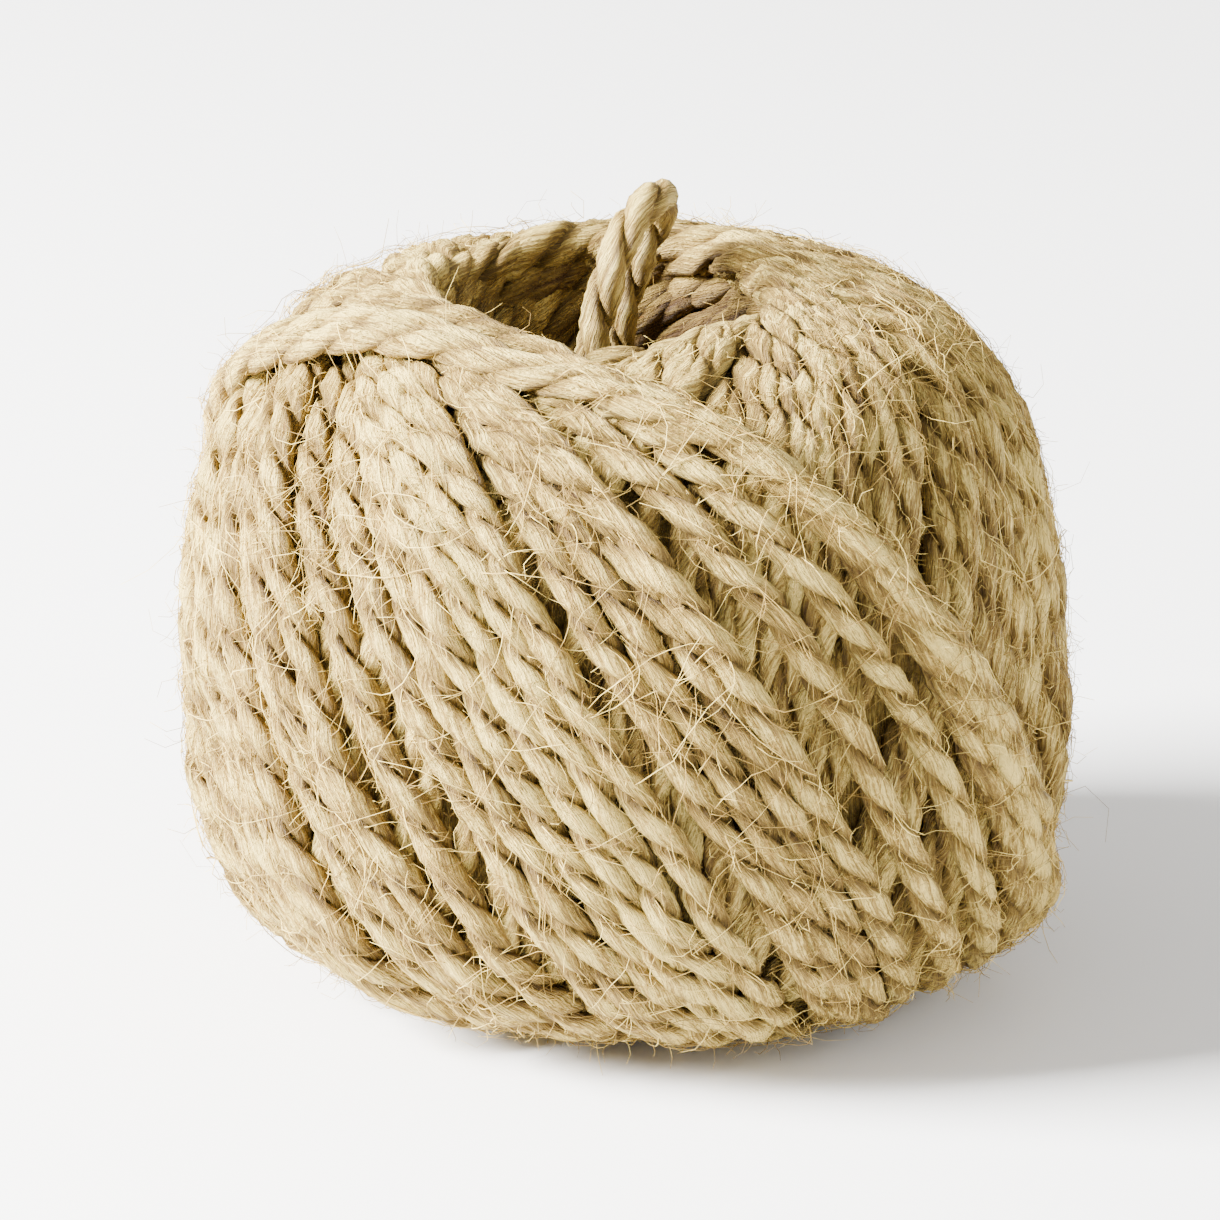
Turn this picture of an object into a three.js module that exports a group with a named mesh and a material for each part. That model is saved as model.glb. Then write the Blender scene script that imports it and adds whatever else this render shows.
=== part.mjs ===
// Centre-pull ball of two-ply jute twine: one wound body with its main ridges and an open well
// through its middle, and the pull loop that stands out of the well.
// Millimetres, +Z up. The origin is on the resting surface, under the middle of the ball.

import * as THREE from "three";
import { mergeVertices } from "three/addons/utils/BufferGeometryUtils.js";

// Twine
const TWINE_DIAMETER = 3.2;

// Wound body: an oblate form measured from its widest level
const BALL_RADIUS = 44.1; // at the widest level
const WIDEST_LEVEL = 28.3; // height of the widest level above the resting surface
const CROWN_HEIGHT = 44; // widest level to the top of the form
const FOOT_DEPTH = 29.8; // widest level to the bottom of the form
const SQUARENESS = 2.95; // exponent of the rounded outline, 2 for an ellipse
const SIDE_DRIFT = -0.05; // sideways shift of the axis for each millimetre of height
const CROWN_LEAN = 0.06; // rise of the crown for each millimetre towards +X
const AXIS_AT_WIDEST = [0.11, -0.01]; // x and y of the axis at the widest level

// Well: a straight hole that flares out into a mouth at each end
const WELL_RADIUS = 11;
const MOUTH_RADIUS = 19;
const TOP_FLARE_HEIGHT = 13;
const FOOT_FLARE_HEIGHT = 9;

// Winding: each turn tilts so far that it passes the mouth and never crosses the axis
const TURN_PASS_ANGLE = 27; // degrees between the axis and a turn's highest point
const LAST_TURN_AZIMUTH = -124; // degrees, where the last turn passes the mouth
const RIDGE_COUNT = 24; // groups of neighbouring turns that read as one ridge
const RIDGE_DEPTH = 1.3;
const LAYER_STEP = 2.6; // how far the last turns stand above the oldest turns that still show
const SHOULDER = 5; // degrees over which the edge of the last turns slopes down

// Mesh density
const SEGMENTS_PER_RIDGE = 4;
const OUTSIDE_STEPS = 30;
const FLARE_STEPS = 5;
const WELL_STEPS = 4;

// Pull loop: the inner end, doubled over above the well, from wall to wall
const LOOP_SIDES = 8;
const LOOP_STEP = TWINE_DIAMETER; // close steps, because the loop bends tightly
const LOOP_ROUTE = [
  // x, y, z
  [-2.0, -9.3, 53.7],
  [-2.2, -8.6, 54.8],
  [-2.6, -7.3, 57.4],
  [-3.0, -6.4, 60.6],
  [-3.2, -6.0, 64.4],
  [-2.7, -6.0, 68.4],
  [-1.6, -5.9, 72.3],
  [-0.5, -5.1, 75.3],
  [1.0, -2.9, 77.6],
  [2.7, 0.1, 78.4],
  [3.5, 3.2, 77.6],
  [3.2, 5.4, 75.3],
  [1.9, 6.2, 72.3],
  [0.4, 6.3, 68.2],
  [-0.6, 6.3, 64.0],
  [-1.0, 6.6, 60.2],
  [-1.2, 7.4, 57.0],
  [-1.2, 8.5, 54.4],
  [-1.2, 9.3, 53.1],
];

const JUTE = { color: 0xcdb487, roughness: 0.92, metalness: 0 };
const PALE_JUTE = { color: 0xe2d2a6, roughness: 0.92, metalness: 0 };

const FULL_TURN = 2 * Math.PI;
const ORIGIN_TO_WIDEST = new THREE.Vector3(AXIS_AT_WIDEST[0], AXIS_AT_WIDEST[1], WIDEST_LEVEL);

// Height of the rounded outline above or below the widest level, at a distance from the axis
function outlineHeight(distance, endHeight) {
  return endHeight * (1 - (distance / BALL_RADIUS) ** SQUARENESS) ** (1 / SQUARENESS);
}

// Points along the outside, from the foot's mouth round to the crown's mouth
function outsideProfile() {
  const foot = new THREE.Vector2(MOUTH_RADIUS, -outlineHeight(MOUTH_RADIUS, FOOT_DEPTH));
  const crown = new THREE.Vector2(MOUTH_RADIUS, outlineHeight(MOUTH_RADIUS, CROWN_HEIGHT));
  const points = [];
  for (let step = 0; step <= OUTSIDE_STEPS; step += 1) {
    const angle = THREE.MathUtils.lerp(foot.angle() - FULL_TURN, crown.angle(), step / OUTSIDE_STEPS);
    const across = Math.cos(angle) / BALL_RADIUS;
    const upright = Math.abs(Math.sin(angle)) / (angle > 0 ? CROWN_HEIGHT : FOOT_DEPTH);
    const reach = (across ** SQUARENESS + upright ** SQUARENESS) ** (-1 / SQUARENESS);
    points.push(new THREE.Vector2(reach * Math.cos(angle), reach * Math.sin(angle)));
  }
  return points;
}

// Points of one closed section: outside, crown flare, well wall and foot flare
function closedProfile() {
  const outside = outsideProfile();
  const foot = outside[0];
  const crown = outside[outside.length - 1];
  const flareWidth = MOUTH_RADIUS - WELL_RADIUS;
  const crownFlare = new THREE.EllipseCurve(
    MOUTH_RADIUS, crown.y - TOP_FLARE_HEIGHT, flareWidth, TOP_FLARE_HEIGHT, Math.PI / 2, Math.PI);
  const footFlare = new THREE.EllipseCurve(
    MOUTH_RADIUS, foot.y + FOOT_FLARE_HEIGHT, flareWidth, FOOT_FLARE_HEIGHT, Math.PI, 1.5 * Math.PI);
  const wall = new THREE.LineCurve(crownFlare.getPoint(1), footFlare.getPoint(0));
  return [
    ...outside,
    ...crownFlare.getPoints(FLARE_STEPS).slice(1),
    ...wall.getPoints(WELL_STEPS).slice(1),
    ...footFlare.getPoints(FLARE_STEPS).slice(1),
  ];
}

// How far round the axis a turn has come from its highest point when it reaches a given level
function turnSweep(elevation) {
  const passAngle = THREE.MathUtils.degToRad(TURN_PASS_ANGLE);
  const ratio = THREE.MathUtils.clamp(Math.sin(elevation) / Math.cos(passAngle), -1, 1);
  const along = Math.acos(ratio);
  return Math.atan2(Math.sin(along), Math.cos(along) * Math.sin(passAngle));
}

// Azimuth travelled since a turn was laid, from 0 for the last turn up to a full turn
function turnAge(passAzimuth) {
  const lastAzimuth = THREE.MathUtils.degToRad(LAST_TURN_AZIMUTH);
  return THREE.MathUtils.euclideanModulo(lastAzimuth - passAzimuth, FULL_TURN);
}

// Height of the turns that pass the mouth at one azimuth: highest at the last turn, lower with
// age, and sloping down in a shoulder just past the last turn
function layerHeight(passAzimuth) {
  const age = turnAge(passAzimuth);
  const pastLast = (FULL_TURN - age) / THREE.MathUtils.degToRad(SHOULDER);
  const ridge = RIDGE_DEPTH * (Math.abs(Math.cos((age * RIDGE_COUNT) / 2)) - 0.5);
  return ridge + LAYER_STEP * (0.5 - Math.min(age / Math.PI, pastLast));
}

// Height that the windings add at a place, where rising and falling turns cross
function windingRelief(azimuth, elevation) {
  const sweep = turnSweep(elevation);
  return Math.max(layerHeight(azimuth - sweep), layerHeight(azimuth + sweep));
}

// Share of the relief that a place carries: it fades out down each flare and towards the foot
function reliefShare(distance, height) {
  const { smoothstep } = THREE.MathUtils;
  return smoothstep(distance, WELL_RADIUS, MOUTH_RADIUS) * smoothstep(height, -FOOT_DEPTH, -FOOT_DEPTH / 2);
}

function woundBody() {
  const geometry = new THREE.LatheGeometry(closedProfile(), RIDGE_COUNT * SEGMENTS_PER_RIDGE);
  geometry.rotateX(Math.PI / 2);
  const place = geometry.attributes.position;
  const point = new THREE.Vector3();
  for (let index = 0; index < place.count; index += 1) {
    point.fromBufferAttribute(place, index);
    const distance = Math.hypot(point.x, point.y);
    const azimuth = Math.atan2(point.y, point.x);
    const elevation = Math.atan2(point.z, distance);
    const relief = windingRelief(azimuth, elevation) * reliefShare(distance, point.z);
    point.addScaledVector(point.clone().normalize(), relief);
    point.z += (CROWN_LEAN * point.x * Math.max(point.z, 0)) / CROWN_HEIGHT;
    point.x += SIDE_DRIFT * point.z;
    point.add(ORIGIN_TO_WIDEST);
    point.z = Math.max(point.z, 0);
    place.setXYZ(index, point.x, point.y, point.z);
  }
  geometry.deleteAttribute("normal");
  geometry.deleteAttribute("uv");
  const merged = mergeVertices(geometry, 1e-3);
  merged.computeVertexNormals();
  return merged;
}

function pullLoop() {
  const route = new THREE.CatmullRomCurve3(LOOP_ROUTE.map((place) => new THREE.Vector3(...place)));
  const section = new THREE.Shape();
  for (let side = 0; side < LOOP_SIDES; side += 1) {
    const angle = (side * FULL_TURN) / LOOP_SIDES;
    const corner = [Math.cos(angle), Math.sin(angle)].map((share) => (share * TWINE_DIAMETER) / 2);
    if (side === 0) {
      section.moveTo(...corner);
    } else {
      section.lineTo(...corner);
    }
  }
  section.closePath();
  const steps = Math.round(route.getLength() / LOOP_STEP);
  return new THREE.ExtrudeGeometry(section, { steps, extrudePath: route });
}

function piece(name, geometry, finish) {
  const mesh = new THREE.Mesh(geometry, new THREE.MeshStandardMaterial(finish));
  mesh.name = name;
  return mesh;
}

const group = new THREE.Group();
group.add(piece("twine_ball", woundBody(), JUTE));
group.add(piece("pull_loop", pullLoop(), PALE_JUTE));

export default group;
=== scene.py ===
"""Looks of a centre-pull ball of two-ply jute twine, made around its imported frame.
The winding and mesh functions work in millimetres about the ball's widest level; meshes are
placed in the frame in metres."""

import functools
import math

import bpy
import numpy as np
from bpy.props import FloatProperty, FloatVectorProperty, IntProperty, PointerProperty
from bpy.types import Operator, Panel, PropertyGroup
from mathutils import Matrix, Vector


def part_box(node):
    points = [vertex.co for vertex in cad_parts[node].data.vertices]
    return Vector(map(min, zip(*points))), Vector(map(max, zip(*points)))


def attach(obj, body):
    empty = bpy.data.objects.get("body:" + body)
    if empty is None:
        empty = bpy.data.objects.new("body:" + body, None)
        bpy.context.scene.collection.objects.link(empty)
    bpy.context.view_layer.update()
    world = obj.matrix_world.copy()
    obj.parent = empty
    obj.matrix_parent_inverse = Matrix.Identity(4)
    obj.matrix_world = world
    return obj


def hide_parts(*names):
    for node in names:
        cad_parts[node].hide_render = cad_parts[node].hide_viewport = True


bl_info = {
    "name": "Jute Twine Ball",
    "version": (1, 0, 0),
    "blender": (4, 5, 0),
    "location": "View3D > Sidebar > Twine",
    "description": "Winds a centre-pull ball of two-ply jute twine with its pull loop",
    "category": "Add Mesh",
}

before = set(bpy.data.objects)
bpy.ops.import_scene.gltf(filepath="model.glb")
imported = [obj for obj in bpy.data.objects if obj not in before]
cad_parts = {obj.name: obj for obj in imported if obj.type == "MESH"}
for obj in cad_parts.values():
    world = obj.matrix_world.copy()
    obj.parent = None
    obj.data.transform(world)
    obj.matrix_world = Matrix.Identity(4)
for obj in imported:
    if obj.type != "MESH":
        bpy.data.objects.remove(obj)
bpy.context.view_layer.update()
BALL_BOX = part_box("twine_ball")

MM = 0.001
FULL = 2 * math.pi
CENTRE = np.array([0.11, -0.01, 28.3])  # middle of the widest level, from the resting surface
SIDE_DRIFT = -0.05  # sideways shift of the ball's axis for each millimetre of height
CROWN_LEAN = 0.06  # rise of the crown for each millimetre towards +X

# Rounded outline about the widest level: reach across, up, down, and how square it is
OUTLINE_ACROSS = (BALL_BOX[1].y - BALL_BOX[0].y) / (2 * MM) - 0.7
OUTLINE_UP = 44.0
OUTLINE_DOWN = 29.8
SQUARENESS = 2.95

# Route of the pull loop, the same points as its CAD tube, in millimetres in the frame
LOOP_ROUTE = (
    (-2.0, -9.3, 53.7), (-2.2, -8.6, 54.8), (-2.6, -7.3, 57.4), (-3.0, -6.4, 60.6),
    (-3.2, -6.0, 64.4), (-2.7, -6.0, 68.4), (-1.6, -5.9, 72.3), (-0.5, -5.1, 75.3),
    (1.0, -2.9, 77.6), (2.7, 0.1, 78.4), (3.5, 3.2, 77.6), (3.2, 5.4, 75.3),
    (1.9, 6.2, 72.3), (0.4, 6.3, 68.2), (-0.6, 6.3, 64.0), (-1.0, 6.6, 60.2),
    (-1.2, 7.4, 57.0), (-1.2, 8.5, 54.4), (-1.2, 9.3, 53.1),
)

# Turns that line the crown's funnel, from the newest layer in: closest pass to the axis, height at
# the rim and at the pass from the widest level, in millimetres, how many there are, and their tone
# half a round behind the last turn, browner for deeper layers as painted shade inside the funnel;
# it follows the square of their age, from 0 at the last turn, so the painted shade is deepest on
# the funnel's oldest side
FUNNEL_COLUMNS = ("nearest", "rim", "pass", "turns", "tone")
FUNNEL_LAYERS = (
    (16.8, 39.5, 35.0, 25, -2.4),
    (15.4, 37.5, 30.0, 24, -4.2),
    (14.1, 34.5, 24.5, 22, -5.5),
    (13.1, 30.0, 18.5, 20, -6.5),
)
FUNNEL_RIM = 23.0

JUTE = "natural jute, spun and plied"
NO_TRIANGLES = np.zeros((0, 3), int)


def linear(hex_code):
    """Linear colour of an sRGB hex code."""
    parts = [int(hex_code[i:i + 2], 16) / 255 for i in (1, 3, 5)]
    return tuple(p / 12.92 if p <= 0.04045 else ((p + 0.055) / 1.055) ** 2.4 for p in parts)


# ---- settings


class TwineSettings(PropertyGroup):
    diameter: FloatProperty(
        name="Twine diameter", description="Thickness of the two plies together",
        default=0.0032, min=0.001, max=0.006, unit="LENGTH", subtype="DISTANCE")
    lay: FloatProperty(
        name="Lay", description="Length of one full twist of the plies round each other",
        default=0.0128, min=0.004, max=0.03, unit="LENGTH", subtype="DISTANCE")
    turns_per_round: IntProperty(
        name="Turns per round", description="Turns laid while the ball rotates once",
        default=68, min=20, max=160)
    pass_angle: FloatProperty(
        name="Pass angle", description="Angle between the axis and a turn's highest point",
        default=math.radians(27), subtype="ANGLE")
    last_turn: FloatProperty(
        name="Last turn", description="Direction in which the last turn passes the crown's mouth",
        default=math.radians(-124), subtype="ANGLE")
    layer_step: FloatProperty(
        name="Layer step", description="Height that one layer of turns adds",
        default=0.0026, unit="LENGTH", subtype="DISTANCE")


class FibreSettings(PropertyGroup):
    short_count: IntProperty(
        name="Short fibre ends", description="Fibre ends that stand out of the plies",
        default=17700)
    lying_count: IntProperty(
        name="Lying fibres", description="Longer fibres that lie over the turns", default=4500)
    stray_count: IntProperty(
        name="Strays", description="Long loose fibres", default=140)
    radius: FloatProperty(
        name="Fibre radius", description="Half the thickness of a fibre bundle",
        default=0.000045, unit="LENGTH", subtype="DISTANCE", precision=6)


class JuteColours(PropertyGroup):
    pale: FloatVectorProperty(
        name="Pale fibre", description="Sun-bleached fibre", subtype="COLOR", size=3,
        default=linear("#F7DA7C"))
    straw: FloatVectorProperty(
        name="Straw", description="Main colour of retted jute", subtype="COLOR", size=3,
        default=linear("#B8974D"))
    brown: FloatVectorProperty(
        name="Bark brown", description="Fibre with bark left on it", subtype="COLOR", size=3,
        default=linear("#886B32"))
    # darkest stop of the twine's colours, used as painted shade in the grooves, the funnel, the
    # well and the older winding
    painted_shade_brown: FloatVectorProperty(
        name="Dark brown", description="Unrubbed fibre deep in the ball", subtype="COLOR", size=3,
        default=linear("#482C12"))
    rust: FloatVectorProperty(
        name="Rust fleck", description="Scorched or rusty fleck", subtype="COLOR", size=3,
        default=linear("#7A4A1A"))


class StageSettings(PropertyGroup):
    floor: FloatVectorProperty(
        name="Floor", description="Colour of the studio floor", subtype="COLOR", size=3,
        default=linear("#F4F3F1"))
    key_power: FloatProperty(
        name="Key light", description="Power of the soft light at the upper left", default=140.0)
    fill_power: FloatProperty(
        name="Fill light", description="Power of the soft light at the right", default=7.0)
    camera_distance: FloatProperty(
        name="Camera distance", description="From the ball's middle", default=0.7,
        unit="LENGTH", subtype="DISTANCE")
    camera_elevation: FloatProperty(
        name="Camera elevation", description="Height angle of the camera above the horizon",
        default=math.radians(19), subtype="ANGLE")


class TwineBallSettings(PropertyGroup):
    twine: PointerProperty(type=TwineSettings)
    fibre: PointerProperty(type=FibreSettings)
    colours: PointerProperty(type=JuteColours)
    stage: PointerProperty(type=StageSettings)


def settings():
    return bpy.context.scene.twine_ball


# ---- small helpers


FOOT_SOFT = 4.0  # turns below this height are pressed flatter by the ball's weight
FOOT_SINK = 1.5  # how far below the resting surface a free turn would hang


def unit(vectors):
    return vectors / np.linalg.norm(vectors, axis=-1, keepdims=True)


def bell(offset, span):
    """1 at no offset, fading out either way over the span."""
    return np.exp(-(offset / span) ** 2)


def half_turns(angle):
    """Angle brought between half a turn back and half a turn ahead."""
    return (angle + math.pi) % FULL - math.pi


def into_frame(points):
    """Winding millimetres to metres in the frame, with the ball's lean and its pressed foot."""
    placed = points.copy()
    placed[..., 2] += CROWN_LEAN * placed[..., 0] * np.maximum(placed[..., 2], 0) / OUTLINE_UP
    placed[..., 0] += SIDE_DRIFT * placed[..., 2]
    placed += CENTRE
    height = placed[..., 2]
    pressed = FOOT_SOFT * (height + FOOT_SINK) / (FOOT_SOFT + FOOT_SINK)
    placed[..., 2] = np.maximum(np.where(height < FOOT_SOFT, pressed, height), 0.0)
    return placed * MM


def smooth_round(values, spread):
    """Closed-curve values smoothed over a spread given in samples."""
    wave = np.fft.rfftfreq(len(values))
    weight = np.exp(-2 * (math.pi * wave * spread) ** 2)
    return np.fft.irfft(np.fft.rfft(values) * weight, len(values))


def round_noise(rng, count, waves, size):
    """Smooth closed noise made of a few waves."""
    along = np.linspace(0, FULL, count, endpoint=False)
    total = sum(rng.normal() * np.cos(w * along + rng.uniform(0, FULL)) for w in waves)
    return size * total / math.sqrt(len(waves) / 2)


def mesh_piece(name, points, quads, triangles, fibre, tone):
    """A smooth-shaded jute object from arrays, riding on the ball's one body."""
    mesh = bpy.data.meshes.new(name)
    corners = np.concatenate([quads.ravel(), triangles.ravel()]).astype(np.int32)
    totals = np.repeat([4, 3], [len(quads), len(triangles)]).astype(np.int32)
    mesh.vertices.add(len(points))
    mesh.vertices.foreach_set("co", points.astype(np.float32).ravel())
    mesh.loops.add(len(corners))
    mesh.loops.foreach_set("vertex_index", corners)
    mesh.polygons.add(len(totals))
    mesh.polygons.foreach_set("loop_start", (np.cumsum(totals) - totals).astype(np.int32))
    mesh.polygons.foreach_set("use_smooth", np.ones(len(totals), bool))
    mesh.update(calc_edges=True)
    for key, kind, field, values in (("fibre", "FLOAT_VECTOR", "vector", fibre),
                                     ("tone", "FLOAT", "value", tone)):
        layer = mesh.attributes.new(key, kind, "POINT")
        layer.data.foreach_set(field, values.astype(np.float32).ravel())
    mesh.materials.append(jute_material())
    piece = bpy.data.objects.new(name, mesh)
    bpy.context.scene.collection.objects.link(piece)
    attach(piece, "root")
    return piece


# ---- winding


def outline_reach(polar):
    """Distance from the middle to the rounded outline, by angle from the axis."""
    across = np.abs(np.sin(polar)) / OUTLINE_ACROSS
    upright = np.abs(np.cos(polar)) / np.where(np.cos(polar) > 0, OUTLINE_UP, OUTLINE_DOWN)
    return (across ** SQUARENESS + upright ** SQUARENESS) ** (-1 / SQUARENESS)


class SurfaceMap:
    """How far the winding reaches from the middle, by polar angle and azimuth."""

    ROWS, COLUMNS = 560, 1200
    FIRST, LAST = math.radians(12), math.radians(168)
    polar = np.linspace(FIRST, LAST, ROWS)
    azimuth = (np.arange(COLUMNS) + 0.5) * FULL / COLUMNS

    def __init__(self, reach):
        self.reach = np.broadcast_to(reach, (self.ROWS, self.COLUMNS)).astype(float).ravel().copy()

    def cells(self, directions):
        polar = np.arccos(np.clip(directions[..., 2], -1, 1))
        share = (polar - self.FIRST) / (self.LAST - self.FIRST)
        row = np.clip((share * (self.ROWS - 1) + 0.5).astype(int), 0, self.ROWS - 1)
        turn = np.arctan2(directions[..., 1], directions[..., 0]) / FULL % 1.0
        return row * self.COLUMNS + (turn * self.COLUMNS).astype(int) % self.COLUMNS

    def at(self, directions):
        return self.reach[self.cells(directions)]

    def raise_to(self, directions, values):
        np.maximum.at(self.reach, self.cells(directions), values)

    def mean_near(self, azimuth, polar):
        """Mean reach within a few degrees of each direction."""
        near = np.radians(np.linspace(-4, 4, 9))
        azimuth = azimuth[..., None, None] + near[:, None]
        polar = np.clip(polar[..., None, None] + near, self.FIRST, self.LAST)
        azimuth, polar = np.broadcast_arrays(azimuth, polar)
        directions = [np.sin(polar) * np.cos(azimuth), np.sin(polar) * np.sin(azimuth),
                      np.cos(polar)]
        return self.at(np.stack(directions, axis=-1)).mean(axis=(-2, -1))


SAMPLES = 900  # points along one turn
NEST = 1.3  # half the height that a turn adds where turns cross and bed into each other
CROWDED = 0.1  # share of that height that is left where a turn passes a mouth
TRACKS = (-0.8, -0.4, 0.0, 0.4, 0.8)  # places across a turn that feel what lies below
STAMP_FINER = 3  # how many times more points a turn has when the surface takes it up
STAMP_TRACKS = np.linspace(-0.97, 0.97, 15)  # places across it that are taken up
BRIDGE, EASE = 2.0, 1.6  # lengths over which a turn spans the dips below it, and is eased
BITE = 0.3  # how far a turn may press into what it touches
GIVE = 0.6  # how far a turn may lie above or below its own level
MOUTH_RAMP = 9  # degrees over which a turn steps down as it passes a mouth

# Steps from turn to turn, before they are brought to a whole round, and how many are wide
USUAL_GAP, WIDE_GAP, WIDE_SHARE = (0.84, 1.0), (1.6, 2.2), 0.15
HANDED_ON = 0.6  # share of its lean and dip that a turn takes over from the one before
LEAN = 0.55  # degrees by which each turn leans in or out
WAVER, WAVER_WAVES = 0.28, (1, 2, 3, 4, 5, 7)  # sideways waver of a turn
WAVER_KEPT, WAVER_NEW = 0.72, 0.69  # share of it taken over, and added new
KINK, KINK_WAVES = 0.15, (9, 11, 14, 17, 21, 26)  # short kinks of each turn alone
DIP_SPAN = 22  # degrees either side of the pass over which a turn sags into the funnel
DIP_IN, DIP_DOWN = 4.0, 1.0  # how far it sags towards the axis and down
DIP_RANGE, DIP_MOST = (0.1, 1.3), 1.2  # shares of that sag
DIP_AGED = 0.6  # how much less of it the oldest turns have
OVERLAP = 0.9  # how far the incoming half lies over older turns there
OVERLAP_IN, OVERLAP_UP, OVERLAP_SPAN = 0.75, 0.66, 8  # its shares in and up, and its degrees
CLOSE_PLACE, CLOSE_SPAN, CLOSE_ANGLE = np.radians([50, 60, 2.5])  # where the mouth closes in

LAST_BUNCH = 3  # last turns, which lie side by side and proud of the rest by the crown's mouth
BUNCH_GAP, GAP_BEFORE_BUNCH = 0.55, 1.6  # steps between them and before them
BUNCH_FAN = 2.1  # degrees by which each of them passes the mouth outside the one before
BUNCH_LIFT, BUNCH_PLACE, BUNCH_SPAN = 1.7, -14, 36  # how far they stand up, and where, in degrees
SHOULDER_SINK = 3.2  # how far the newest turns press in where they come over the shoulder
SHOULDER_PLACE, SHOULDER_SPAN = -66, 32  # where along a turn that is, in degrees
SHOULDER_AGE = 0.5  # radians behind the last turn over which it fades

OLDER_LAYERS = 4  # layers from the outline down to the older winding that the turns are laid on
BARE = 7.0  # how far below the outline a map of the outside starts
WOUND = 6.5  # places less deep than this carry a turn
LEVELLED = 19  # rows of the map over which its change of level is smoothed
HIDDEN = 0.15  # a turn this far below the outside is hidden
SHOWN_SPREAD, SHOWN_SHARE = 10.0, 0.12  # samples, and the share that makes a stretch show


def turn_line(azimuth, angle, sideways):
    """Unit points of one tilted turn and its unit side vectors, from its highest point round."""
    along = np.linspace(0, FULL, SAMPLES, endpoint=False)
    top = np.array([math.sin(angle) * math.cos(azimuth), math.sin(angle) * math.sin(azimuth),
                    math.cos(angle)])
    ahead = np.array([-math.sin(azimuth), math.cos(azimuth), 0.0])
    side = np.cross(top, ahead)
    line = np.outer(np.cos(along), top) + np.outer(np.sin(along), ahead)
    line = unit(line + np.outer(sideways / OUTLINE_ACROSS, side))
    return line, np.broadcast_to(side, line.shape), along


def bedding(along):
    """Share of a turn's thickness that counts: turns crowd and press flat near the mouths."""
    return np.sqrt(CROWDED ** 2 + (1 - CROWDED ** 2) * np.sin(along) ** 2)


def climb(along, spec):
    """Height of a turn above the last turn's mean level, along itself: it leaves each mouth low
    and comes to the other one layer higher, over the turns that cross it."""
    angle = np.minimum(along, FULL - along)
    sweep = np.arctan2(np.sin(angle), np.cos(angle) * math.sin(spec.pass_angle)) / math.pi
    rise = np.where(along < math.pi, sweep, 1 - sweep)
    return spec.layer_step / MM * smooth_round(rise, MOUTH_RAMP / 360 * len(along))


def lay_turn(surface, line, side, along, level):
    """Height of a turn laid over the surface, near its own level; the surface then takes it up."""
    bed = bedding(along)
    touch = np.full(len(line), -1.0)
    for track in TRACKS:
        below = surface.at(unit(line + track * NEST / OUTLINE_ACROSS * side))
        touch = np.maximum(touch, below + NEST * bed * math.sqrt(1 - track * track))
    step = FULL * OUTLINE_ACROSS / len(line)
    height = smooth_round(touch, BRIDGE / step)
    for _ in range(2):
        height = smooth_round(np.maximum(height, touch - BITE), EASE / step)
    height = level + GIVE * np.tanh((height - level) / GIVE)
    stamp_turn(surface, line, side, height, NEST * bed, NEST)
    return height


def stamp_turn(surface, line, side, height, crest, half_width):
    """The surface takes up a turn of a given half width, rounded over its crest."""
    fine = np.linspace(0, len(line), STAMP_FINER * len(line), endpoint=False)
    index = np.arange(len(line) + 1)

    def dense(values):
        return np.interp(fine, index, np.append(values, values[0]))

    line = np.stack([dense(line[:, axis]) for axis in range(3)], axis=1)
    height, crest = dense(height), dense(crest)
    for share in STAMP_TRACKS:
        place = unit(line + share * half_width / OUTLINE_ACROSS * side[0])
        surface.raise_to(place, height + crest * math.sqrt(1 - share * share))


def turn_schedule(rng, rounds, spec):
    """Pass azimuth, pass angle, sideways waver and dip into the funnel of each turn, oldest
    first."""
    count = spec.turns_per_round * rounds
    gaps = np.where(rng.random(count) < WIDE_SHARE, rng.uniform(*WIDE_GAP, count),
                    rng.uniform(*USUAL_GAP, count))
    gaps[-LAST_BUNCH], gaps[1 - LAST_BUNCH:] = GAP_BEFORE_BUNCH, BUNCH_GAP
    for start in range(0, count, spec.turns_per_round):
        part = slice(start, start + spec.turns_per_round)
        gaps[part] *= spec.turns_per_round / gaps[part].sum()
    travelled = np.cumsum(gaps) * FULL / spec.turns_per_round
    azimuths = spec.last_turn - (travelled[-1] - travelled)
    turns, lean, dip, waver = [], 0.0, 0.7, np.zeros(SAMPLES)
    for azimuth in azimuths:
        lean = HANDED_ON * lean + rng.normal(0, LEAN)
        dip = HANDED_ON * dip + (1 - HANDED_ON) * rng.uniform(*DIP_RANGE)
        dip = np.clip(dip, 0, DIP_MOST)
        waver = WAVER_KEPT * waver + WAVER_NEW * round_noise(rng, SAMPLES, WAVER_WAVES, WAVER)
        kinks = round_noise(rng, SAMPLES, KINK_WAVES, KINK)
        # on one side the turns pass closer to the axis and close the mouth in
        closed_in = CLOSE_ANGLE * bell(half_turns(azimuth - CLOSE_PLACE), CLOSE_SPAN)
        rounds_ago = max((spec.last_turn - azimuth) / FULL, 0)
        sag = dip * (1 - DIP_AGED * rounds_ago ** 2)
        off_pass = lean
        place_in_bunch = len(turns) - (count - LAST_BUNCH)
        if place_in_bunch > 0:
            off_pass, sag = BUNCH_FAN * place_in_bunch, 0.0
        angle = spec.pass_angle - closed_in + math.radians(off_pass)
        turns.append((azimuth, angle, waver + kinks, sag))
    return turns


def layer_heights(spec):
    """Height of the wound surface: each place is one layer lower for each family of turns that
    has gone a whole round since it last crossed there."""
    polar, azimuth = SurfaceMap.polar[:, None], SurfaceMap.azimuth
    along = np.arccos(np.clip(np.cos(polar) / math.cos(spec.pass_angle), -1, 1))
    sweep = np.arctan2(np.sin(along), np.cos(along) * math.sin(spec.pass_angle))
    ages = sum((spec.last_turn - azimuth + way * sweep) % FULL for way in (1, -1))
    return spec.layer_step / MM * (1 - ages / FULL)


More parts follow.
